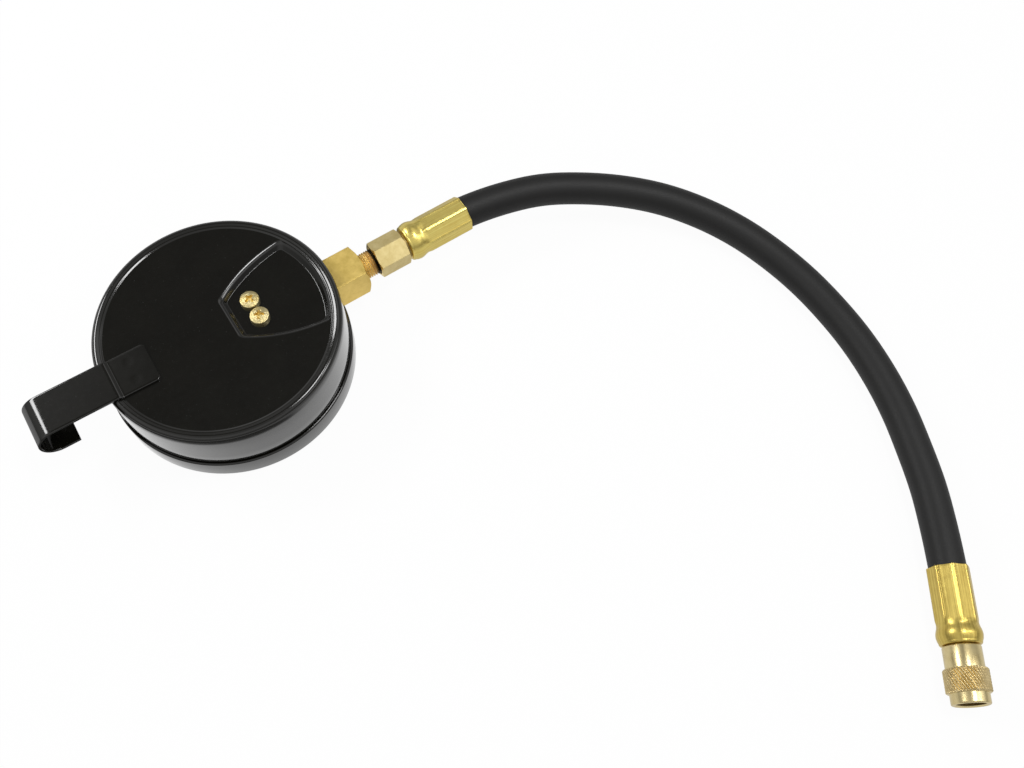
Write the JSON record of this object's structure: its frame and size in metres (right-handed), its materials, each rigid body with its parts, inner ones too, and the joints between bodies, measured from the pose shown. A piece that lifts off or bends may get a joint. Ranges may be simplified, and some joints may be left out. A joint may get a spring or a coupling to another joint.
{
  "type": "fuel pressure gauge",
  "caption": "Round Bourdon-tube fuel pressure gauge in a black case with a strap hook, a brass stem and a rubber test hose that ends in a knurled swivel nut.",
  "frame": {"origin": "the case axis, on the plane of the bezel's front rim, on which the gauge lies", "axes": "+Z out of the back of the case, +X along the stem, so the strap hook reaches toward -X and the dial faces -Z"},
  "size_m": [0.2831, 0.2984, 0.032],
  "materials": {
    "black_paint": "gloss",
    "glass": "clear",
    "gasket_rubber": "matt",
    "dial_white": "satin",
    "pointer_black": "satin",
    "plated_steel": "satin",
    "spring_metal": "bright",
    "movement_brass": "satin",
    "tube_bronze": "satin",
    "bar_brass": "satin",
    "screw_brass": "bright",
    "turned_brass": "turned",
    "crimped_brass": "bright",
    "hose_rubber": "matt"
  },
  "bodies": {
    "gauge": {"case_shell": "black_paint", "bezel_ring": "black_paint", "hang_hook": "black_paint", "lens": "glass", "lens_gasket": "gasket_rubber", "nut_washer": "gasket_rubber", "dial_plate": "dial_white", "dial_screws": "plated_steel", "stop_pin": "plated_steel", "pillar_screws": "plated_steel", "movement_screws": "plated_steel", "hairspring": "spring_metal", "hairspring_stud": "movement_brass", "movement_back_plate": "movement_brass", "movement_front_plate": "movement_brass", "movement_pillars": "movement_brass", "bourdon_tube": "tube_bronze", "socket": "bar_brass", "socket_screws": "screw_brass", "hex_coupling": "turned_brass", "tool_stem": "turned_brass", "depressor_pin": "turned_brass", "ferrule_gauge_end": "crimped_brass", "ferrule_tool_end": "crimped_brass", "hose": "hose_rubber"},
    "sector": {"sector_gear": "movement_brass"},
    "pointer_train": {"pointer": "pointer_black", "pointer_shaft": "plated_steel"},
    "link_bar": {"link": "movement_brass"},
    "tip": {"tube_tip": "movement_brass"},
    "nut": {"swivel_nut": "turned_brass"}
  },
  "joints": [
    {"name": "sector_swing", "type": "hinge", "parent": "gauge", "child": "sector", "pos_m": [-0.00466, -0.01739, 0], "axis": [0, 0, 1], "range_deg": [-30, 0], "stiffness_Nm_per_rad": 0.05, "deforming": ["bourdon_tube"]},
    {"name": "pointer_turn", "type": "hinge", "parent": "gauge", "child": "pointer_train", "pos_m": [0, 0, 0], "axis": [0, 0, 1], "range_deg": [0, 271], "deforming": ["hairspring"]},
    {"name": "link_turn", "type": "hinge", "parent": "sector", "child": "link_bar", "pos_m": [-0.00466, -0.02439, 0], "axis": [0, 0, 1], "range_deg": [0, 31]},
    {"name": "tip_travel", "type": "slide", "parent": "gauge", "child": "tip", "axis": [-0.9659, 0.2588, 0], "range_m": [0, 0.0037]},
    {"name": "nut_spin", "type": "hinge", "parent": "gauge", "child": "nut", "pos_m": [0.14523, -0.24869, 0.0077], "axis": [-0.5432, -0.8396, 0], "continuous": true}
  ],
  "couplings": [
    {"joint": "pointer_turn", "follows": "sector_swing", "ratio": -9},
    {"joint": "link_turn", "follows": "sector_swing", "ratio": -1},
    {"joint": "tip_travel", "follows": "sector_swing", "m_per_rad": -0.0069203}
  ]
}
